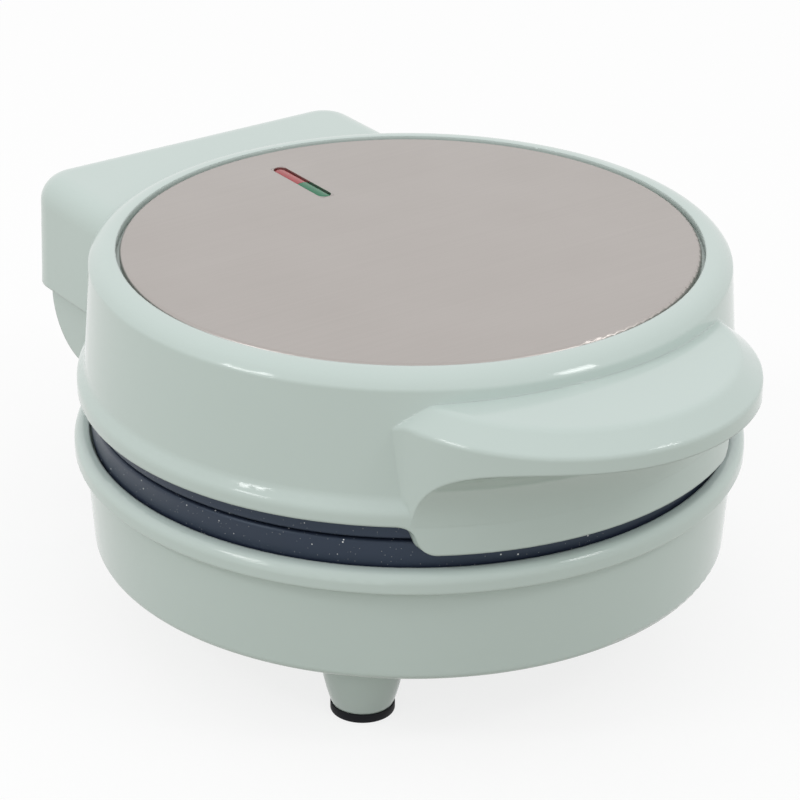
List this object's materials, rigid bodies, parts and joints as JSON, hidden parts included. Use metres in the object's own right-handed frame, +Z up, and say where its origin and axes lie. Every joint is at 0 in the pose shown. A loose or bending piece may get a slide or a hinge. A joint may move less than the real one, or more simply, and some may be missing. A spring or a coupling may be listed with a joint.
{
  "type": "doughnut maker",
  "caption": "Round countertop doughnut maker: hinged lid with a front handle and steel top over two cast plates with ring cavities, on a footed tub.",
  "frame": {"origin": "on the table, under the axis of the round body", "axes": "+Z up, +Y towards the hinge, -Y towards the handle, +X to the right seen from the handle"},
  "size_m": [0.212, 0.2698, 0.1242],
  "materials": {
    "housing": "gloss mint moulded plastic",
    "nonstick": "dark speckled non-stick coating on cast aluminium",
    "steel_top": "brushed stainless steel",
    "sheath": "heat-darkened steel sheath",
    "tin_plate": "plain tin plate",
    "hardware": "zinc plated",
    "ceramic": "unglazed insulating body",
    "dark_plastic": "dark grey moulded plastic",
    "rubber": "matt black rubber",
    "red_lens": "clear red",
    "green_lens": "clear green",
    "lamp_glass": "clear glass"
  },
  "bodies": {
    "base": {"lower_housing": "housing", "lower_cooking_plate": "nonstick", "lower_heating_element": "sheath", "lower_heat_shield": "tin_plate", "lower_plate_screws": "hardware", "thermostat": "ceramic", "thermal_fuse": "ceramic", "cord_wrap": "dark_plastic", "cord_wrap_screws": "hardware", "cord_gland": "dark_plastic", "hinge_pin_left": "hardware", "hinge_pin_right": "hardware", "foot_pad_front_left": "rubber", "foot_pad_front_right": "rubber", "foot_pad_rear_left": "rubber", "foot_pad_rear_right": "rubber"},
    "lid": {"upper_housing": "housing", "top_plate": "steel_top", "upper_cooking_plate": "nonstick", "upper_heating_element": "sheath", "upper_heat_shield": "tin_plate", "upper_plate_screws": "hardware", "red_lens": "red_lens", "green_lens": "green_lens", "lamp_holder": "dark_plastic", "lamp_holder_screws": "hardware", "red_lamp": "lamp_glass", "green_lamp": "lamp_glass"}
  },
  "joints": [
    {"name": "lid_hinge", "type": "hinge", "parent": "base", "child": "lid", "pos_m": [0, 0.104, 0.078], "axis": [-1, 0, 0], "range_deg": [0, 95]}
  ]
}
